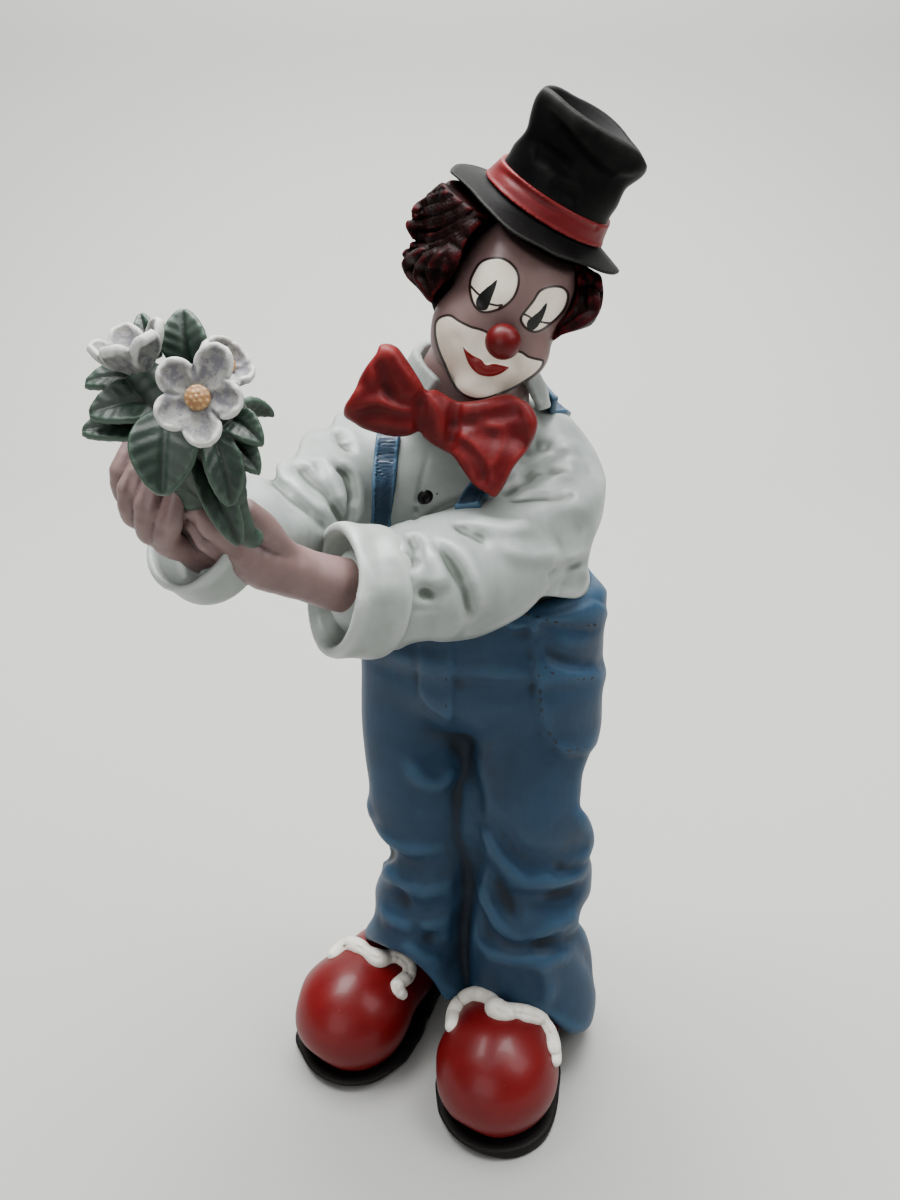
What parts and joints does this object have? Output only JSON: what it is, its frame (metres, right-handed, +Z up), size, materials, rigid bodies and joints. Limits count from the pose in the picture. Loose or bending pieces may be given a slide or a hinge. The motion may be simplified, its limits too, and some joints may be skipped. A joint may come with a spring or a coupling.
{
  "type": "clown figurine",
  "caption": "Standing clown figurine in a dented top hat, large bow tie, braces and baggy trousers, reaching out with cupped hands to offer a posy of white flowers.",
  "frame": {"origin": "centre of the bounding box's footprint, on the plane that the soles stand on", "axes": "+Z up through the hat, -Y the side that faces the viewer in the picture, +X the figure's own left side"},
  "size_m": [0.1256, 0.1548, 0.3204],
  "materials": {
    "painted_resin": "hand-painted cast polyresin, satin",
    "painted_posy": "hand-painted cast polyresin, satin"
  },
  "bodies": {
    "root": {"clown_figure": "painted_resin", "bouquet": "painted_posy"}
  },
  "joints": []
}
